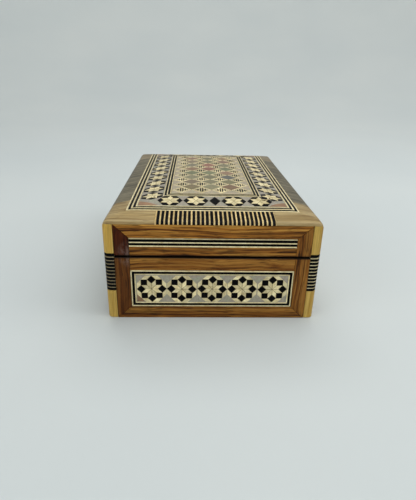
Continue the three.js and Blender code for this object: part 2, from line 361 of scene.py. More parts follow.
class Nodes:
    """Short calls for making a material's node tree. A source is a (node, output) pair."""

    def __init__(self, name):
        self.material = bpy.data.materials.new(name)
        self.material.use_nodes = True
        self.tree = self.material.node_tree
        self.tree.nodes.clear()
        self.shader = self.add("ShaderNodeBsdfPrincipled")
        self.add("ShaderNodeOutputMaterial", {"Surface": (self.shader, "BSDF")})
        coordinates = self.add("ShaderNodeTexCoord")
        self.place = (coordinates, "Object")
        self.facing = (coordinates, "Normal")

    def add(self, kind, inputs=None, **settings):
        """A node with its settings. Each input is a source or a plain value."""
        node = self.tree.nodes.new(kind)
        for key, value in settings.items():
            setattr(node, key, value)
        self.feed(node, inputs or {})
        return node

    def feed(self, node, inputs):
        for socket, value in inputs.items():
            if isinstance(value, tuple) and isinstance(value[0], bpy.types.Node):
                self.tree.links.new(value[0].outputs[value[1]], node.inputs[socket])
            else:
                node.inputs[socket].default_value = value

    def warped(self, amount):
        """Object coordinates pushed about by soft noise, by up to about half the amount in metres."""
        soft = self.add("ShaderNodeTexNoise", {"Scale": 45, "Detail": 1, "Vector": self.place})
        inputs = {0: (soft, "Color"), 1: (amount, amount, amount), 2: self.place}
        return (self.add("ShaderNodeVectorMath", inputs, operation="MULTIPLY_ADD"), "Vector")

    def noise(self, scale, offset=(0, 0, 0), detail=3, roughness=0.5, distortion=0.0, warp=0.0):
        source = self.warped(warp) if warp else self.place
        placed = self.add("ShaderNodeMapping", {"Scale": scale, "Location": offset, "Vector": source})
        inputs = {"Scale": 1, "Detail": detail, "Roughness": roughness, "Distortion": distortion}
        return (self.add("ShaderNodeTexNoise", {**inputs, "Vector": (placed, "Vector")}), "Fac")

    def ramp(self, source, *stops):
        """Colours along a value: each stop is a position and a colour, or a grey level."""
        node = self.add("ShaderNodeValToRGB", {"Fac": source})
        elements = node.color_ramp.elements
        while len(elements) < len(stops):
            elements.new(0.5)
        for element, (position, colour) in zip(elements, stops):
            element.position = position
            element.color = colour if isinstance(colour, tuple) else grey(colour)
        return (node, "Color")

    def mix(self, factor, first, second, mode="MIX"):
        inputs = {0: factor, 6: first, 7: second}
        return (self.add("ShaderNodeMix", inputs, data_type="RGBA", blend_type=mode), 2)

    def multiply(self, first, *others):
        for other in others:
            first = self.mix(1.0, first, other, "MULTIPLY")
        return first

    def maths(self, operation, first, second=0.0):
        return (self.add("ShaderNodeMath", {0: first, 1: second}, operation=operation), 0)

    def upward(self, vector):
        """The Z part of a vector."""
        return (self.add("ShaderNodeSeparateXYZ", {"Vector": vector}), "Z")

    def attribute(self, name, output="Fac"):
        return (self.add("ShaderNodeAttribute", attribute_name=name), output)

    def finish(self, inputs, relief, strength, distance):
        """Sets the shader's inputs and a fine relief, and gives the material."""
        bump = self.add("ShaderNodeBump", {"Strength": strength, "Distance": distance, "Height": relief})
        self.feed(self.shader, {**inputs, "Normal": (bump, "Normal")})
        return self.material


def lacquer(weight, roughness=0.2, specular=0.35):
    return {"Specular IOR Level": specular, "Coat Weight": weight, "Coat Roughness": roughness}


def smeared(nodes, body, place):
    """Adds a cloudy pale film round one place."""
    away = nodes.add("ShaderNodeVectorMath", {0: nodes.place, 1: place}, operation="DISTANCE")
    share = nodes.maths("MULTIPLY", (away, "Value"), 1 / SMEAR_REACH)
    near = nodes.ramp(share, (0.4, 1.0), (1.0, 0.0))
    cloud = nodes.noise((520, 520, 330), (1, 4, 2), detail=4, roughness=0.65)
    film = nodes.ramp(cloud, (0.44, 0.0), (0.66, 0.42))
    return nodes.mix(nodes.multiply(near, film), body, SMEAR_COLOUR)


def seam_shaded(nodes, body, spared):
    """Paints shade on the wood beside the seam, darkest at the gap. Faces that look up or down are spared
    by a share.
    """
    above = nodes.maths("SUBTRACT", nodes.upward(nodes.place), (BASE_TOP + LID_BOTTOM) / 2 * MM)
    away = nodes.maths("MULTIPLY", nodes.maths("ABSOLUTE", above), 1 / SEAM_SHADE_REACH)
    # Painted shade: near black at the seam, fading out over its reach.
    unshaded = nodes.ramp(away, (0.45, 0.06), (1.0, 1.0))
    level = nodes.ramp(nodes.maths("ABSOLUTE", nodes.upward(nodes.facing)), (0.3, 0.0), (0.6, spared))
    return nodes.multiply(body, nodes.mix(level, unshaded, grey(1.0)))


def wood(
    name, grain, dark, mid, light, seed=0.0, rough=0.4, coat=0.25, pores=0.5, stain=grey(0.85),
    lines=900, veins=0.0, specular=0.35, spared=None, smear=None,
):
    """Wood with growth lines and pores that run along one axis, darker where the tone is low, with painted
    shade beside the seam where spared is given.
    """
    nodes = Nodes(name)

    def streaks(low, high, offset, **settings):
        scale = [high, high, high]
        scale["XYZ".index(grain)] = low
        return nodes.noise(tuple(scale), offset, **settings)

    offset = (seed, seed * 1.7, seed * 2.3)
    bands = streaks(9, lines, offset, roughness=0.55, distortion=0.3, warp=WOOD_WARP)
    broad = streaks(7, 110, (seed + 9, 0, 0), detail=2, warp=WOOD_WARP)
    fibre = streaks(70, 3000, offset, detail=2, roughness=0.7)
    vein = streaks(13, 2300, (seed + 2, seed, 1), detail=2, warp=WOOD_WARP)
    pore = streaks(190, 2100, (seed + 4, 0, 0), detail=2, warp=WOOD_WARP)
    body = nodes.multiply(
        nodes.ramp(bands, (0.34, dark), (0.48, mid), (0.62, light)),
        nodes.ramp(broad, (0.3, 0.84), (0.7, 1.1)),
        nodes.ramp(fibre, (0.3, 0.7), (0.62, 1.06)),
        nodes.ramp(vein, (0.4, 1 - veins), (0.48, 1.0)),
        nodes.ramp(pore, (0.33, 1 - pores), (0.43, 1.0)),
        # The tone ramp gives each piece its own tone, and carries painted light on the front left post and
        # the back border corners.
        nodes.ramp(nodes.attribute("tone"), (0.0, stain), (1.0, 1.0)),
    )
    if smear:
        body = smeared(nodes, body, smear)
    # Painted shade beside the seam, for the woods that give spared.
    if spared is not None:
        body = seam_shaded(nodes, body, spared)
    inputs = {"Base Color": body, "Roughness": rough, **lacquer(coat, specular=specular)}
    return nodes.finish(inputs, pore, 0.25, 0.00006)


def inlay(name, dark, light, spread=0.2, rough=0.35, coat=0.25, streak=500, specular=0.35):
    """Bone, light wood or black rods: fine streaks, and a tone of its own for each piece."""
    nodes = Nodes(name)
    fine = nodes.noise((streak, streak * 1.3, streak), detail=4, roughness=0.65)
    body = nodes.multiply(
        nodes.ramp(fine, (0.3, dark), (0.65, light)),
        nodes.ramp(nodes.attribute("tone"), (0.0, 1 - spread), (1.0, 1 + spread)),
    )
    inputs = {"Base Color": body, "Roughness": rough, **lacquer(coat, specular=specular)}
    return nodes.finish(inputs, fine, 0.12, 0.00004)


def shell(name, tinted=False):
    """Mother-of-pearl: soft clouds of grey, rose and green with fine growth lines."""
    nodes = Nodes(name)
    clouds = nodes.noise((330, 260, 330), roughness=0.6, distortion=1.2)
    lines = nodes.noise((2200, 420, 900), (3, 1, 2), roughness=0.6, distortion=0.6)
    body = nodes.multiply(
        nodes.ramp(clouds, *SHELL_CLOUDS),
        nodes.ramp(lines, (0.3, 0.82), (0.65, 1.06)),
        nodes.attribute("tint", "Color") if tinted else grey(1.0),
        nodes.ramp(nodes.attribute("tone"), (0.0, 0.86), (1.0, 1.1)),
    )
    return nodes.finish({"Base Color": body, "Roughness": 0.3, **lacquer(0.3, 0.15)}, lines, 0.15, 0.00005)


def velvet(name):
    nodes = Nodes(name)
    nap = nodes.noise((140, 110, 140), roughness=0.6)
    pile = nodes.noise((4200, 4200, 4200), detail=2, roughness=0.8)
    inputs = {
        "Base Color": nodes.multiply(
            nodes.ramp(nap, (0.35, srgb(92, 8, 18)), (0.65, srgb(138, 16, 30))),
            nodes.ramp(pile, (0.3, 0.6), (0.7, 1.15)),
        ),
        "Roughness": 0.95,
        "Sheen Weight": 0.8,
        "Sheen Roughness": 0.35,
        "Sheen Tint": srgb(230, 120, 130),
        "Specular IOR Level": 0.2,
    }
    return nodes.finish(inputs, pile, 0.6, 0.00015)


def brass(name):
    nodes = Nodes(name)
    stain = nodes.noise((260, 260, 260), detail=4, roughness=0.65)
    scratch = nodes.noise((900, 9000, 900), detail=2)
    inputs = {
        "Base Color": nodes.ramp(stain, (0.3, srgb(176, 136, 72)), (0.6, srgb(228, 192, 116))),
        "Roughness": nodes.ramp(scratch, (0.3, 0.22), (0.7, 0.4)),
        "Metallic": 1.0,
    }
    return nodes.finish(inputs, scratch, 0.1, 0.00003)


SHELL_CLOUDS = (
    (0.28, srgb(148, 144, 128)),
    (0.42, srgb(174, 168, 150)),
    (0.52, srgb(172, 158, 143)),
    (0.62, srgb(166, 167, 145)),
    (0.75, srgb(200, 192, 168)),
)
WOOD_WARP = 0.0025
WALNUT_TONES = (srgb(92, 48, 12), srgb(168, 107, 36), srgb(208, 150, 66))
SMEAR_PLACE = (-0.0300, -0.0615, 0.0268)
SMEAR_REACH = 0.0058
SMEAR_COLOUR = srgb(168, 146, 134)
WALNUT_STAIN = (0.2, 0.08, 0.012, 1.0)
POST_TONES = (srgb(203, 157, 63), srgb(226, 182, 83), srgb(240, 200, 103))
BORDER_TONES = (srgb(142, 114, 66), srgb(176, 149, 96), srgb(192, 167, 116))
# Low-tone colour of the light border: a painted greyer, cooler colour for the back corners, offsetting the
# warm rear lamp's cast.
BORDER_PAINTED_COOL_TINT = (0.68, 0.78, 1.15, 1.0)
GREY_TONES = (srgb(86, 79, 58), srgb(121, 112, 86), srgb(144, 135, 108))
CARCASS_TONES = (srgb(168, 132, 84), srgb(196, 160, 108), srgb(214, 182, 132))

CREAM = inlay("cream_inlay", srgb(206, 184, 128), srgb(250, 236, 190))
BLACK = inlay("black_inlay", srgb(2, 2, 3), srgb(10, 10, 12), spread=0.4, coat=0.04, specular=0.08)
GLUE_LINE = inlay("glue_line", srgb(74, 56, 34), srgb(110, 88, 58), rough=0.7, coat=0.0, specular=0.1)
BUFF = inlay("buff_inlay", srgb(128, 96, 70), srgb(164, 128, 96), spread=0.15, streak=260)
STRAW = inlay("straw_inlay", srgb(190, 156, 92), srgb(236, 208, 146))
PEARL = shell("pearl_ground")
# Tinted shell: real colours for the lozenges and the field ground, and painted shade on the front left
# post's slips.
DYED_AND_SHADED_SHELL = shell("dyed_and_shaded_shell", tinted=True)


def walnut(name, axis, seed, veins):
    # spared 0.0: the painted seam shade falls on every face of the walnut.
    finish = {"coat": 0.1, "specular": 0.15, "stain": WALNUT_STAIN, "spared": 0.0}
    smear = SMEAR_PLACE if axis == "Z" else None
    return wood(name, axis, *WALNUT_TONES, seed=seed, veins=veins, smear=smear, **finish)


WALNUT = {axis: walnut(f"walnut_{axis}", axis, 3 + 5.3 * i, 0.52) for i, axis in enumerate("XYZ")}
PLAIN_WALNUT = {axis: walnut(f"plain_walnut_{axis}", axis, 6.4, 0.15) for axis in "XY"}
POST_WOOD = wood("post_wood", "Z", *POST_TONES, seed=4.4, pores=0.15, stain=grey(0.7), lines=700)
# The border wood's low tone is the painted cooling of the back corners.
BORDER_WOOD = wood("border_wood", "X", *BORDER_TONES, seed=2.2, pores=0.25, stain=BORDER_PAINTED_COOL_TINT, lines=500)
GREY_WOOD = wood("grey_wood", "X", *GREY_TONES, seed=7.7, pores=0.4, lines=420)
# spared 1.0: the painted seam shade falls only on the carcass's upright faces.
CARCASS = wood("carcass_wood", "Y", *CARCASS_TONES, seed=3.1, rough=0.7, coat=0.0, pores=0.3, spared=1.0)
VELVET = velvet("red_velvet")
BRASS = brass("aged_brass")


# Inlay patterns.
INLAY = [CREAM, BLACK, PEARL, DYED_AND_SHADED_SHELL, BUFF, GLUE_LINE, STRAW]
IS_CREAM, IS_BLACK, IS_PEARL, IS_DYED_AND_SHADED, IS_BUFF, IS_GLUE, IS_STRAW = range(7)


def sunk(surface, depth):
    """The same surface, lower by a depth."""
    return lambda u, v, extra: surface(u, v, depth + extra)


def regular(count, radius, start):
    return [polar(radius, start + 360 * i / count) for i in range(count)]


def nudged(centre, reach):
    """A centre moved a little at random, as if laid by hand."""
    return (centre[0] + random.uniform(-reach, reach), centre[1] + random.uniform(-reach, reach))


def six_star(build, surface, centre, turn, side=HEX_SIDE):
    """Six light rhombi as a star, and six black ones in its notches."""
    turn += random.uniform(-1.5, 1.5)
    centre = nudged(centre, 0.08)
    tip = side * math.sqrt(3)
    backing = moved(regular(6, tip, 30), centre, turn)
    tile(build, sunk(surface, GLUE_DEPTH), backing, IS_GLUE)
    for k in range(6):
        angle = 60 * k
        light = [(0, 0), polar(side, angle), polar(tip, angle + 30), polar(side, angle + 60)]
        outer = polar(2 * side, angle)
        dark = [polar(side, angle), polar(tip, angle - 30), outer, polar(tip, angle + 30)]
        tile(build, surface, moved(light, centre, turn), IS_CREAM)
        tile(build, surface, moved(dark, centre, turn), IS_BLACK)


def rosette(build, surface, centre, side=ROSETTE_SIDE):
    """Eight light rhombi, eight black squares between their tips, eight light rhombi round them."""
    turn = random.uniform(-2, 2)
    centre = nudged(centre, 0.12)
    tip = 2 * side * math.cos(math.radians(22.5))
    crown = side * (1 + math.sqrt(2))
    corner = 2 * crown * math.cos(math.radians(22.5)) - tip
    backing = moved(regular(8, corner - 0.1, 22.5), centre, turn)
    tile(build, sunk(surface, GLUE_DEPTH), backing, IS_GLUE)
    for k in range(8):
        angle = 45 * k
        before, after, following = angle - 22.5, angle + 22.5, angle + 45
        petal = [(0, 0), polar(side, angle), polar(tip, after), polar(side, following)]
        square = [polar(side, angle), polar(tip, before), polar(crown, angle), polar(tip, after)]
        outer = [polar(tip, after), polar(crown, angle), polar(corner, after), polar(crown, following)]
        for outline, slot in ((petal, IS_CREAM), (square, IS_BLACK), (outer, IS_CREAM)):
            tile(build, surface, moved(outline, centre, turn), slot)


def star_panel(side, count):
    """A row of rosettes on pearl inside a light, black and light line."""
    half_u, foot, top = face_measures(f"base_star_panel_{side}", side)
    half_v = (top - foot) / 2
    centre = (0, (top + foot) / 2)
    surface = face_surface(side)
    build = Build()
    used = 0
    for slot, width in zip((IS_CREAM, IS_BLACK, IS_CREAM), PANEL_LINES):
        for strip in ring(half_u - used, half_v - used, width):
            patch(build, surface, moved(strip, centre), (1, 1), slot, thick=RING_THICK)
        used += width
    u, v = half_u - used, half_v - used
    ground = rectangle(-u, centre[1] - v, u, centre[1] + v)
    patch(build, surface, ground, (4 * count, 4), IS_PEARL, tone=0.5, drop=GROUND_DEPTH, thick=0.7)
    if side == "front":
        left, bottom = -u + GLUE, centre[1] - v + GLUE
        repair = [(left, bottom), (left + REPAIR[0], bottom), (left, bottom + REPAIR[1])]
        tile(build, sunk(surface, GROUND_DEPTH - BIT_LIFT), repair, IS_BUFF)
    for i in range(count):
        rosette(build, surface, ((i - (count - 1) / 2) * ROSETTE_PITCH, centre[1]))
    build.finish(f"star_panel_{side}", "base", INLAY, "mosaic_inlay", [f"base_star_panel_{side}"])


def face_stringing(side):
    """Five straight slips, light and black in turn."""
    node = f"lid_stringing_{side}"
    half, foot, top = face_measures(node, side)
    height = top - foot
    surface = face_surface(side)
    build = Build()
    for i, share in enumerate(FACE_SLIPS):
        bottom = top - share * height
        slip = inset(rectangle(-half, bottom, half, top), GLUE / 2)
        patch(build, surface, slip, (12, 1), (IS_CREAM, IS_BLACK)[i % 2], thick=FACE_VENEER)
        top = bottom
    build.finish(f"stringing_{side}", "lid", INLAY, "striped_inlay", [node])


# Walnut frames: mitred sticks on the four faces.
def stick(name, side, shapes, material, tone):
    """One stick of a face frame, in one or more pieces. Its name starts with its body."""
    body = name.split("_")[0]
    build = Build()
    for corners in shapes:
        outline = inset(corners, GLUE / 2)
        patch(build, face_surface(side), outline, (8, 5), 0, tone, FACE_VENEER, bevel=STICK_BEVEL)
    build.finish(f"{side}_{name}", body, [material], "walnut_frame", [f"{body}_frame_{side}"])


def seam_strip(side, half, low, high, lid):
    """A strip beside the seam; the hinge side is cut away round each hinge leaf."""
    if side != "right":
        return [rectangle(-half, low, half, high)]
    shapes = []
    start = -half
    for centre in (-HINGE_Y, HINGE_Y):
        left, right = centre - NOTCH_HALF, centre + NOTCH_HALF
        shapes.append(rectangle(start, low, left, high))
        notched = (NOTCH_HIGH, high) if lid else (low, NOTCH_LOW)
        shapes.append(rectangle(left, notched[0], right, notched[1]))
        start = right
    shapes.append(rectangle(start, low, half, high))
    return shapes


STILE_TONES = {
    "front": (0.0, 0.46, 0.2, 0.5),
    "back": (0.55, 0.7, 0.66, 0.8),
    "left": (0.6, 0.4, 0.7, 0.54),
    "right": (0.45, 0.8, 0.6, 0.9),
}
HINGE_Y = 35.0
NOTCH_HALF = 8.2
NOTCH_LOW, NOTCH_HIGH = 24.95, 27.05
REVEAL = 0.05
STICK_BEVEL = 0.12


def face_frame(side):
    """Four sticks round the stringing in the lid, and four round the stars in the base."""
    half, _, top = face_measures(f"lid_frame_{side}", side)
    string_half, string_foot, string_top = face_measures(f"lid_stringing_{side}", side)
    _, stars_foot, stars_top = face_measures(f"base_star_panel_{side}", side)
    inner = string_half + REVEAL
    lid_foot, s0, s1 = LID_BOTTOM + SEAM_EASE, string_foot - REVEAL, string_top + REVEAL
    base_top, p0, p1 = BASE_TOP - SEAM_EASE, stars_foot - REVEAL, stars_top + REVEAL
    grain = "Y" if side in ("left", "right") else "X"
    along, plain, upright = WALNUT[grain], PLAIN_WALNUT[grain], WALNUT["Z"]
    lid_left, lid_right, base_left, base_right = STILE_TONES[side]
    lid_strip = seam_strip(side, inner, lid_foot, s0, True)
    base_strip = seam_strip(side, inner, p1, base_top, False)
    rail = [(-half, top), (-inner, s1), (inner, s1), (half, top)]
    stick("lid_top_rail", side, [rail], along, 1.0)
    stick("lid_seam_strip", side, lid_strip, along, 0.8)
    stile = [(-half, lid_foot), (-inner, lid_foot), (-inner, s1), (-half, top)]
    stick("lid_stile_left", side, [stile], upright, lid_left)
    stile = [(inner, lid_foot), (half, lid_foot), (half, top), (inner, s1)]
    stick("lid_stile_right", side, [stile], upright, lid_right)
    stick("base_seam_strip", side, base_strip, plain, 0.61)
    rail = [(-half, 0), (half, 0), (inner, p0), (-inner, p0)]
    stick("base_bottom_rail", side, [rail], along, 0.6)
    stile = [(-half, 0), (-inner, p0), (-inner, base_top), (-half, base_top)]
    stick("base_stile_left", side, [stile], upright, base_left)
    stile = [(inner, p0), (half, 0), (half, base_top), (inner, base_top)]
    stick("base_stile_right", side, [stile], upright, base_right)


# Corner posts, with striped blocks in the base.
def post_outline(segments=8):
    """Plan of a corner post in the +X +Y quarter, as points with their outward directions."""
    inner_x = HALF_X - POST + GLUE / 2
    inner_y = HALF_Y - POST + GLUE / 2
    outline = [((inner_x, inner_y), (0, 0)), ((HALF_X, inner_y), (1, 0))]
    for share in even(segments):
        x, y = polar(POST_ROUND, 90 * share)
        point = (HALF_X - POST_ROUND + x, HALF_Y - POST_ROUND + y)
        outline.append((point, (x / POST_ROUND, y / POST_ROUND)))
    outline.append(((inner_x, HALF_Y), (0, 1)))
    return outline


def post_loop(outline, signs, z, ease=0.0):
    """The post's outline at a height, drawn in where the top edge is sanded."""
    loop = []
    for (x, y), (out_x, out_y) in outline:
        draw = fillet_inset(z, fillet_radius(out_x)) + ease
        loop.append((signs[0] * (x - out_x * draw), signs[1] * (y - out_y * draw), z))
    return loop


def column(build, outline, signs, heights, slot, tone=None, ease=0.07, tint=(1, 1, 1)):
    """An upright piece through a rising list of heights, its end edges eased."""
    low, high = heights[0], heights[-1]
    inner = [low + ease, *heights[1:-1], high - ease]
    loops = [post_loop(outline, signs, z) for z in inner]
    loops = [post_loop(outline, signs, low, ease), *loops, post_loop(outline, signs, high, ease)]
    build.loft(loops, slot, tone, tint)


# Front left post: its wood tones are painted lighter to make up for the weak left lamp, and its light
# slips are tinted shell with a painted shade tint, greyer as bone in shade.
POST_PAINTED_LIGHT_AND_SHADE = {"front_left": (0.26, 1.0, IS_DYED_AND_SHADED)}
SLIP_PAINTED_SHADE_TINT = (0.84, 0.74, 0.5)
SLIP_GAP = 0.02
SLIP_EASE = 0.03
POST_FOOT_EASE = 0.3
POST_LEVELS = (0.8, 0.86, 0.92, 0.96, 1)
CORNERS = {"front_left": (-1, -1), "front_right": (1, -1), "back_left": (-1, 1), "back_right": (1, 1)}


def corner_posts():
    outline = post_outline()
    top = EDGE_Z - EDGE_BAND - GLUE
    for corner, signs in CORNERS.items():
        # Painted light on the front left post's wood and painted shade on its slips. The other posts keep
        # their own tones.
        base_tone, lid_tone, slip_slot = POST_PAINTED_LIGHT_AND_SHADE.get(corner, (0.14, 0.17, IS_CREAM))
        node = f"base_post_{corner}"
        low, high = span(node)
        build = Build()
        column(build, outline, signs, [low.z, high.z], 0, base_tone, POST_FOOT_EASE)
        build.finish(f"base_post_light_{corner}", "base", [POST_WOOD], "light_wood", [node])

        node = f"base_stripes_{corner}"
        low, high = span(node)
        pitch = (high.z - low.z) / POST_STRIPE_COUNT
        build = Build()
        for i in range(POST_STRIPE_COUNT):
            start = low.z + i * pitch
            change = start + pitch * POST_STRIPE_BLACK
            black = [start, change - SLIP_GAP]
            light = [change, start + pitch - SLIP_GAP]
            column(build, outline, signs, black, IS_BLACK, ease=SLIP_EASE)
            # The painted shade tint greys only tinted shell slips, which only the front left post has.
            column(build, outline, signs, light, slip_slot, 0.0, SLIP_EASE, SLIP_PAINTED_SHADE_TINT)
        build.finish(f"base_post_stripes_{corner}", "base", INLAY, "striped_inlay", [node])

        foot = LID_BOTTOM + pitch * POST_STRIPE_BLACK
        heights = [foot + SLIP_GAP] + [foot + (top - foot) * share for share in POST_LEVELS]
        build = Build()
        column(build, outline, signs, [LID_BOTTOM, foot], 1, ease=SLIP_EASE)
        column(build, outline, signs, heights, 0, lid_tone)
        node = f"lid_post_{corner}"
        build.finish(f"lid_post_light_{corner}", "lid", [POST_WOOD, BLACK], "light_wood", [node])


# Lid top: borders with a rounded outer edge, stringing, star band and field.
def edge_loop(inner, outer, outward_x, steps=7, arc=6):
    """Section of a border piece, from its inner edge out over the sanded lid edge and back."""
    inner, outer = Vector(inner), Vector(outer)
    width = (outer - inner).length
    out = (outer - inner) / width
    radius = fillet_radius(outward_x)
    loop = [lid_surface(*inner, BEVEL)]
    for share in even(steps):
        reach = BEVEL + (width - radius - BEVEL) * share
        loop.append(lid_surface(*(inner + out * reach), 0))
    for share in even(arc)[1:]:
        angle = math.acos(1 - EDGE_BAND / radius) * share
        reach = width - radius * (1 - math.sin(angle))
        loop.append(lid_surface(*(inner + out * reach), radius * (1 - math.cos(angle))))
    loop.append(lid_surface(*inner, TOP_VENEER))
    return loop


def border_strip(build, start, end, steps, slot, outward_x, tone=None):
    """A straight border piece. Start and end are (inner, outer) pairs of plan points."""
    loops = []
    for share in even(steps):
        inner, outer = between(start[0], end[0], share), between(start[1], end[1], share)
        loops.append(edge_loop(inner, outer, outward_x))
    build.loft(loops, slot, tone)


def corner_border(corner, sign_x, sign_y):
    """The light L at one corner: along the end, round the corner and along the side."""
    stripes_low, stripes_high = span("lid_stripes_front" if sign_y < 0 else "lid_stripes_back")
    end_start = (stripes_high.x if sign_x > 0 else -stripes_low.x) + GLUE
    side_stop = span("lid_dark_border_left")[1].y + GLUE
    in_x, in_y = HALF_X - BORDER, HALF_Y - BORDER
    round_x, round_y = HALF_X - POST_ROUND, HALF_Y - POST_ROUND
    stations = []
    for share in even(6):
        inner = (end_start + (in_x - end_start) * share, in_y)
        stations.append((inner, (end_start + (round_x - end_start) * share, HALF_Y), 0))
    for share in even(8)[1:-1]:
        x, y = polar(POST_ROUND, 90 - 90 * share)
        stations.append(((in_x, in_y), (round_x + x, round_y + y), x / POST_ROUND))
    for share in even(6):
        inner_y = in_y + (side_stop - JOINT_SLANT / 2 - in_y) * share
        outer_y = round_y + (side_stop + JOINT_SLANT / 2 - round_y) * share
        stations.append(((in_x, inner_y), (HALF_X, outer_y), 1))
    loops = []
    for (a, b), (c, d), outward_x in stations:
        loops.append(edge_loop((sign_x * a, sign_y * b), (sign_x * c, sign_y * d), outward_x))
    build = Build()
    # Back corners take a low tone: painted greyer and cooler against the warm rear lamp. Front corners
    # keep their colour.
    build.loft(loops, 0, 0.95 if sign_y < 0 else 0.1)
    node = f"lid_border_{corner}"
    build.finish(f"border_light_{corner}", "lid", [BORDER_WOOD], "light_wood", [node], sharp=40)


def dark_border(side, sign):
    node = f"lid_dark_border_{side}"
    end = span(node)[1].y
    near, far = end - JOINT_SLANT / 2, end + JOINT_SLANT / 2
    in_x, out_x = sign * (HALF_X - BORDER), sign * HALF_X
    build = Build()
    border_strip(build, ((in_x, -near), (out_x, -far)), ((in_x, near), (out_x, far)), 24, 0, 1, 0.6)
    build.finish(f"border_dark_{side}", "lid", [GREY_WOOD], "grey_wood", [node], sharp=40)


def striped_border(side, sign):
    """A block of black slips with light ones between them, running out over the edge."""
    node = f"lid_stripes_{side}"
    low, high = span(node)
    in_y = sign * (HALF_Y - BORDER)
    out_y = sign * HALF_Y
    pitch = (high.x - low.x) / (STRIPE_COUNT + 1 - STRIPE_BLACK)
    light = pitch * (1 - STRIPE_BLACK)
    build = Build()
    x = low.x
    for i in range(2 * STRIPE_COUNT + 1):
        width = light if i % 2 == 0 else pitch - light
        width *= 1 + random.uniform(-0.06, 0.06)
        x1 = min(x + width, high.x)
        start, stop = x + 0.01, x1 - 0.01
        slot = (IS_STRAW, IS_BLACK)[i % 2]
        border_strip(build, ((start, in_y), (start, out_y)), ((stop, in_y), (stop, out_y)), 1, slot, 0)
        x = x1
    build.finish(f"border_stripes_{side}", "lid", INLAY, "striped_inlay", [node], sharp=40)


def top_stringing(name, node, edge, width, slips):
    """Five slips in a mitred ring, light and black in turn."""
    build = Build()
    for i, share in enumerate(slips):
        for strip in ring(HALF_X - edge, HALF_Y - edge, share * width):
            patch(build, lid_surface, strip, (30, 1), (IS_CREAM, IS_BLACK)[i % 2], thick=RING_THICK)
        edge += share * width
    build.finish(name, "lid", INLAY, "striped_inlay", [node])


def star_band():
    edge = BORDER + OUTER_STRING
    half_x, half_y = HALF_X - edge, HALF_Y - edge
    build = Build()
    for strip in ring(half_x, half_y, STAR_BAND):
        patch(build, lid_surface, strip, (30, 5), IS_PEARL, 0.5, thick=TOP_VENEER, drop=GROUND_DEPTH)
    column_x = HALF_X - edge - STAR_BAND / 2
    for sign in (-1, 1):
        for i in range(HEX_COLUMN_COUNT):
            y = (i - (HEX_COLUMN_COUNT - 1) / 2) * HEX_PITCH
            six_star(build, lid_surface, (sign * column_x, y), 30)
        row_y = sign * (half_y - STAR_BAND / 2)
        for place in ROW_PLACES:
            six_star(build, sunk(lid_surface, -ROW_LIFT), (place + ROW_SHIFT, row_y), 0)
        lozenge = diamond(LOZENGE_SIDE / 2, LOZENGE_SIDE / 2 * math.sqrt(3), (ROW_SHIFT, row_y))
        tile(build, lid_surface, lozenge, IS_BLACK)
        for sign_x in (-1, 1):
            x0, y0 = sign_x * (half_x - CORNER_GAP), sign * (half_y - CORNER_GAP)
            triangle = [(x0, y0), (x0 - sign_x * CORNER_LONG, y0), (x0, y0 - sign * CORNER_SHORT)]
            tile(build, lid_surface, triangle, IS_BUFF)
    build.finish("star_band", "lid", INLAY, "mosaic_inlay", ["lid_star_band"])


LOZENGE_COLOURS = {
    "brown": (0.62, 0.54, 0.33), "sage": (0.70, 0.71, 0.50), "rust": (0.68, 0.46, 0.31),
    "taupe": (0.70, 0.59, 0.45), "moss": (0.60, 0.60, 0.41), "olive": (0.57, 0.57, 0.35),
    "slate": (0.38, 0.42, 0.45), "green": (0.54, 0.62, 0.40), "red": (0.84, 0.40, 0.33),
    "rose": (0.86, 0.58, 0.44), "orange": (0.88, 0.61, 0.36), "grey": (0.66, 0.65, 0.52),
}
LOZENGE_ROWS = (
    "brown sage rust",
    "taupe moss olive",
    "sage moss slate",
    "green green rose",
    "rust red green",
    "grey red sage",
    "taupe moss rose",
    "rose olive orange",
)
FIELD_TINT = (1.16, 1.08, 0.95)
FRAME_LINE = 0.32
MOTIF_HEART = (3.0, 3.5)
MOTIF_BAR = ((0.1, -2.9), (0.1, 2.9), (0.85, 1.5), (0.85, -1.5))
MOTIF_CHIPS = ((1.48, 0.55, 1.7), (2.25, 0.35, 0.7))


def diamond(half_x, half_y, centre=(0, 0)):
    return moved([(half_x, 0), (0, half_y), (-half_x, 0), (0, -half_y)], centre)


def field_motif(build, centre, half_x, half_y):
    """A diamond edged with light slips, and black bits on a light heart."""
    outer = diamond(half_x, half_y, centre)
    inner = inset(outer, FRAME_LINE)
    for slip in mitred(outer, inner):
        tile(build, lid_surface, slip, IS_CREAM)
    tile(build, lid_surface, diamond(*MOTIF_HEART, centre), IS_CREAM)
    raised = sunk(lid_surface, -BIT_LIFT)
    for sign in (-1, 1):
        bar = [(sign * u, v) for u, v in MOTIF_BAR]
        tile(build, raised, moved(bar, centre), IS_BLACK)
        for place, half_u, half_v in MOTIF_CHIPS:
            chip = diamond(half_u, half_v, (centre[0] + sign * place, centre[1]))
            tile(build, raised, chip, IS_BLACK)


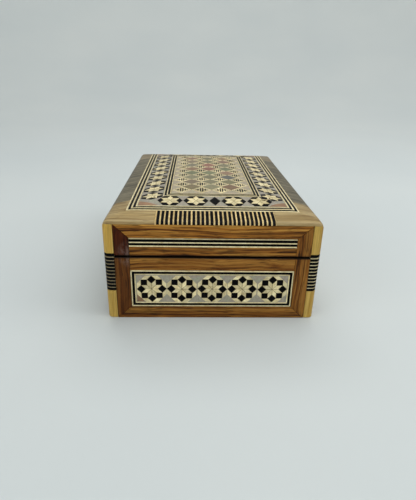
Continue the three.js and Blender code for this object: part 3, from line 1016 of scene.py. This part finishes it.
def field_panel():
    low, high = span("lid_field_panel")
    build = Build()
    ground = rectangle(low.x, low.y, high.x, high.y)
    depths = {"thick": TOP_VENEER, "drop": GROUND_DEPTH}
    patch(build, lid_surface, ground, (16, 36), IS_DYED_AND_SHADED, 0.8, tint=FIELD_TINT, **depths)
    step_x = (high.x - low.x) / FIELD_COLUMNS
    step_y = (high.y - low.y) / FIELD_ROWS
    for column_index in range(FIELD_COLUMNS):
        for row in range(FIELD_ROWS):
            centre = (low.x + (column_index + 0.5) * step_x, low.y + (row + 0.5) * step_y)
            field_motif(build, centre, step_x / 2, step_y / 2)
    for row, words in enumerate(LOZENGE_ROWS):
        for column_index, word in enumerate(words.split()):
            centre = (low.x + (column_index + 1) * step_x, low.y + (row + 1) * step_y)
            lozenge = diamond(step_x / 2, step_y / 2, centre)
            tile(build, lid_surface, lozenge, IS_DYED_AND_SHADED, tint=LOZENGE_COLOURS[word])
    build.finish("field_panel", "lid", INLAY, "mosaic_inlay", ["lid_field_panel"])


# Inside: velvet lining and pads, bare wood.
def finish_node(name, material):
    """A CAD node keeps its shape and gets a material."""
    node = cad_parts[name]
    node.data.materials.clear()
    node.data.materials.append(material)


def round_corner_path(half_x, half_y, radius, steps=6, run=24):
    """Points round a rectangle with rounded corners, with the outward direction at each."""
    x, y = half_x - radius, half_y - radius
    centres = [Vector(place) for place in ((x, y), (-x, y), (-x, -y), (x, -y))]
    path = []
    for quarter, centre in enumerate(centres):
        for share in even(steps):
            out = Vector(polar(1, 90 * (quarter + share)))
            path.append((centre + out * radius, out))
        start = centre + out * radius
        stop = centres[(quarter + 1) % 4] + out * radius
        path += [(start.lerp(stop, share), out) for share in even(run)[1:-1]]
    return path


LINING_THICK = 1.0
LINING_CORNER = 1.2
UNDERLAY_INSET = 0.3
UNDERLAY_THICK = 0.12


def lining(node, body, hem_up):
    """Velvet over card on the inner walls, with a rolled hem at the mouth."""
    low, high = span(node)
    mouth, foot = (high.z, low.z) if hem_up else (low.z, high.z)
    rise = 1 if hem_up else -1
    hem = LINING_THICK / 2
    fold = mouth - rise * hem
    path = round_corner_path(high.x, high.y, LINING_CORNER)
    loops = []
    for point, out in path:
        wave = 0.07 * math.sin(point.x * 0.9 + point.y * 0.55) + 0.05 * math.sin(point.y * 1.7 - point.x)
        loop = []
        for share in even(10):
            sag = wave * math.sin(math.pi * share)
            loop.append((*(point - out * (LINING_THICK + sag)), foot + (fold - foot) * share))
        for share in even(8)[1:]:
            angle = math.pi * share
            across = point - out * hem * (1 + math.cos(angle))
            loop.append((*across, fold + rise * hem * math.sin(angle)))
        loops.append([*loop, (*point, foot)])
    build = Build()
    build.loft(loops, tone=0.5, ring=True)
    sheet = [point - out * UNDERLAY_INSET for point, out in path]
    heights = sorted((foot, foot + rise * UNDERLAY_THICK))
    build.loft([[(*point, z) for point in sheet] for z in heights])
    build.finish(f"velvet_{node}", body, [VELVET], "red_velvet", [node], sharp=60)


PAD_SCALE = 10
PAD_VOXEL = 1.5
PAD_CAP = 0.5
PAD_CORNER = 2.5
PAD_ROWS = ((0.2, 0.0), (-0.3, 0.5), (-0.3, 1.0), (0.3, 1.5))


def pad_slab(low, high, flat_up):
    """A slab with soft edges, just reaching the lining. A row is an inset and a height."""
    loops = []
    for side, height in PAD_ROWS:
        z = high.z - height if flat_up else low.z + height
        path = round_corner_path(high.x - side, high.y - side, PAD_CORNER)
        loops.append([(*point, z) for point, out in path])
    build = Build()
    build.loft(loops)
    return build


def velvet_pad(node, body, flat_up):
    """A thin padded board: cloth blown up a little, its back held flat."""
    low, high = span(node)
    build = pad_slab(low, high, flat_up)
    piece = build.finish(f"velvet_{node}", body, [VELVET], "red_velvet", [node], sharp=180)
    mesh = piece.data
    for vertex in mesh.vertices:
        vertex.co *= PAD_SCALE
    remesh = piece.modifiers.new("even", "REMESH")
    remesh.mode = "VOXEL"
    remesh.voxel_size = PAD_VOXEL * MM * PAD_SCALE
    bake(piece)
    start = [vertex.co.copy() for vertex in piece.data.vertices]
    back = (high.z if flat_up else low.z) * MM * PAD_SCALE
    held = piece.vertex_groups.new(name="held")
    near = 0.6 * MM * PAD_SCALE
    held.add([i for i, co in enumerate(start) if abs(co.z - back) < near], 1.0, "REPLACE")
    cloth = piece.modifiers.new("cloth", "CLOTH")
    cloth.settings.use_pressure = True
    cloth.settings.uniform_pressure_force = 4
    cloth.settings.effector_weights.gravity = 0
    cloth.settings.vertex_group_mass = "held"
    for moment in range(1, 21):
        bpy.context.scene.frame_set(moment)
    bake(piece)
    bpy.context.scene.frame_set(1)
    cap = PAD_CAP * MM * PAD_SCALE
    for vertex, origin in zip(piece.data.vertices, start):
        move = vertex.co - origin
        if move.length > cap:
            move *= cap / move.length
        vertex.co = (origin + move) / PAD_SCALE
        vertex.co.z = min(max(vertex.co.z, low.z * MM), high.z * MM)
    smooth = piece.modifiers.new("smooth", "SUBSURF")
    smooth.levels = smooth.render_levels = 1
    bake(piece)
    piece.data.shade_smooth()


def bake(piece):
    """Applies the piece's modifiers to its mesh."""
    graph = bpy.context.evaluated_depsgraph_get()
    mesh = bpy.data.meshes.new_from_object(piece.evaluated_get(graph))
    piece.modifiers.clear()
    old = piece.data
    piece.data = mesh
    bpy.data.meshes.remove(old)
    if not mesh.materials:
        mesh.materials.append(VELVET)


# Brass hinges.
SCREW_RADIUS = 1.25
SCREW_PITCH = 5.2
SCREW_SLOT = 0.3
BRASS_EASE = 0.09


def screw(build, centre, up):
    """A countersunk head with a slot: two half discs on a lower disc."""
    cx, cy, cz = centre
    turn = random.uniform(0, 180)
    shapes = [(regular(24, SCREW_RADIUS, 0), -0.2, 0.0, 0.0)]
    first = math.degrees(math.asin(SCREW_SLOT / SCREW_RADIUS))
    for start in (turn + first, turn + 180 + first):
        half = [polar(SCREW_RADIUS - 0.04, start + (180 - 2 * first) * share) for share in even(10)]
        shapes.append((half, 0.0, 0.1, 0.06))
    for outline, low, high, ease in shapes:
        base = [(cx + x, cy + y, cz + up * low) for x, y in outline]
        edge = [(cx + x, cy + y, cz + up * (high - ease)) for x, y in outline]
        top = [(cx + x * 0.93, cy + y * 0.93, cz + up * high) for x, y in outline]
        build.loft([base, edge, top] if ease else [base, edge], 0)


def hinges():
    """The CAD hinge pieces with rounded edges, and their screws."""
    for name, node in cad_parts.items():
        if not name.startswith("hinge"):
            continue
        body = "lid" if "lid" in name else "base"
        piece = new_object(name.replace("hinge", "brass"), node.data.copy())
        piece.data.materials.clear()
        piece.data.materials.append(BRASS)
        ease = piece.modifiers.new("ease", "BEVEL")
        ease.width = BRASS_EASE * MM
        ease.segments = 2
        ease.limit_method = "ANGLE"
        ease.angle_limit = math.radians(40)
        bake(piece)
        piece.data.shade_smooth()
        piece.data.set_sharp_from_angle(angle=math.radians(30))
        hand_over(piece, body, [name])
        if "leaf" not in name:
            continue
        low, high = span(name)
        up = -1 if body == "lid" else 1
        x, y, z = (low.x + HALF_X) / 2, (low.y + high.y) / 2, (low.z + high.z) / 2
        build = Build()
        for k in (-1, 0, 1):
            screw(build, (x, y + k * SCREW_PITCH, z - up * LEAF_DROP), up)
        build.finish(name.replace("hinge", "screws"), body, [BRASS], "hinge_brass")


# Scene: floor, lights and camera.
def studio():
    """A pale floor that curves up into a wall all round."""
    flat, bend, wall = 0.5, 0.95, 1.6
    profile = [(flat / 2, 0.0), (flat, 0.0)]
    for i in range(1, 19):
        angle = math.pi / 2 * i / 18
        profile.append((flat + bend * math.sin(angle), bend * (1 - math.cos(angle))))
    profile.append((flat + bend, wall))
    sides = 96
    points = [(0.0, 0.0, 0.0)]
    for radius, z in profile:
        points += [(*polar(radius, 360 * i / sides), z) for i in range(sides)]
    faces = [(0, 1 + i, 1 + (i + 1) % sides) for i in range(sides)]
    for ring in range(len(profile) - 1):
        a, b = 1 + ring * sides, 1 + (ring + 1) * sides
        for i in range(sides):
            j = (i + 1) % sides
            faces.append((a + i, b + i, b + j, a + j))
    mesh = bpy.data.meshes.new("floor")
    mesh.from_pydata(points, [], faces)
    mesh.shade_smooth()
    floor = new_object("floor", mesh)
    nodes = Nodes("floor_paint")
    cloud = nodes.noise((6, 6, 6), detail=2)
    paint = nodes.ramp(cloud, (0.3, srgb(208, 214, 214)), (0.7, srgb(213, 218, 217)))
    nodes.feed(nodes.shader, {"Base Color": paint, "Roughness": 0.8, "Specular IOR Level": 0.1})
    mesh.materials.append(nodes.material)
    floor.visible_glossy = False


def area_light(name, place, target, size, power, colour):
    light = bpy.data.lights.new(name, "AREA")
    light.shape = "RECTANGLE"
    light.size, light.size_y = size
    light.energy = power
    light.color = colour
    lamp = new_object(name, light)
    lamp.location = place
    lamp.rotation_mode = "QUATERNION"
    lamp.rotation_quaternion = (Vector(target) - Vector(place)).to_track_quat("-Z", "Y")
    lamp.visible_camera = False
    return lamp


def lights():
    world = bpy.data.worlds.new("dim_room")
    world.use_nodes = True
    background = world.node_tree.nodes["Background"]
    background.inputs["Color"].default_value = (0.97, 0.99, 1.0, 1.0)
    background.inputs["Strength"].default_value = 0.25
    bpy.context.scene.world = world
    cool, warm = (0.95, 0.98, 1.0), (1.0, 0.985, 0.96)
    area_light("top", (0.15, -0.05, 0.62), (0.1, -0.05, 0), (0.7, 0.7), 2.0, cool)
    area_light("front", (0.15, -1.2, 0.9), (0, 0, 0), (1.2, 0.8), 3.0, warm)
    area_light("right", (1.2, -0.2, 0.8), (0, 0, 0), (0.9, 0.9), 4.4, warm)
    area_light("left", (-0.8, -0.5, 0.5), (0, 0, 0.02), (0.6, 0.5), 1.2, cool)
    rear = area_light("rear", (0.0, 1.0, 1.2), (0, 0.4, 0), (1.4, 0.5), 5.8, warm)
    rear.visible_glossy = False


CAMERA_PLACE = (-0.00746, -0.2017, 0.09006)
CAMERA_PITCH = 0.411
CAMERA_YAW = 0.0392
CAMERA_ROLL = 0.0243
FOCAL_LENGTH = 30.24


def camera():
    data = bpy.data.cameras.new("camera")
    data.lens = FOCAL_LENGTH
    data.sensor_width = 36
    data.clip_start = 0.005
    eye = new_object("camera", data)
    turn = Matrix.Rotation(-CAMERA_YAW, 4, "Z")
    tilt = Matrix.Rotation(math.pi / 2 - CAMERA_PITCH, 4, "X")
    roll = Matrix.Rotation(CAMERA_ROLL, 4, "Z")
    eye.matrix_world = Matrix.Translation(CAMERA_PLACE) @ turn @ tilt @ roll
    bpy.context.scene.camera = eye


camera()
studio()
lights()
for side, count in (("front", 5), ("back", 5), ("left", 9), ("right", 9)):
    star_panel(side, count)
    face_stringing(side)
    face_frame(side)
corner_posts()
for corner, signs in CORNERS.items():
    corner_border(corner, *signs)
for side, sign in (("left", -1), ("right", 1)):
    dark_border(side, sign)
for side, sign in (("front", -1), ("back", 1)):
    striped_border(side, sign)
top_stringing("outer_stringing", "lid_outer_stringing", BORDER, OUTER_STRING, OUTER_SLIPS)
inner_edge = BORDER + OUTER_STRING + STAR_BAND
top_stringing("inner_stringing", "lid_inner_stringing", inner_edge, INNER_STRING, INNER_SLIPS)
star_band()
field_panel()
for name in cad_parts:
    if "wall" in name or "board" in name:
        finish_node(name, CARCASS)
for half, flat_up in (("base", False), ("lid", True)):
    lining(f"{half}_lining", half, not flat_up)
    velvet_pad(f"{half}_pad", half, flat_up)
hinges()
bpy.context.scene.view_settings.view_transform = "Standard"
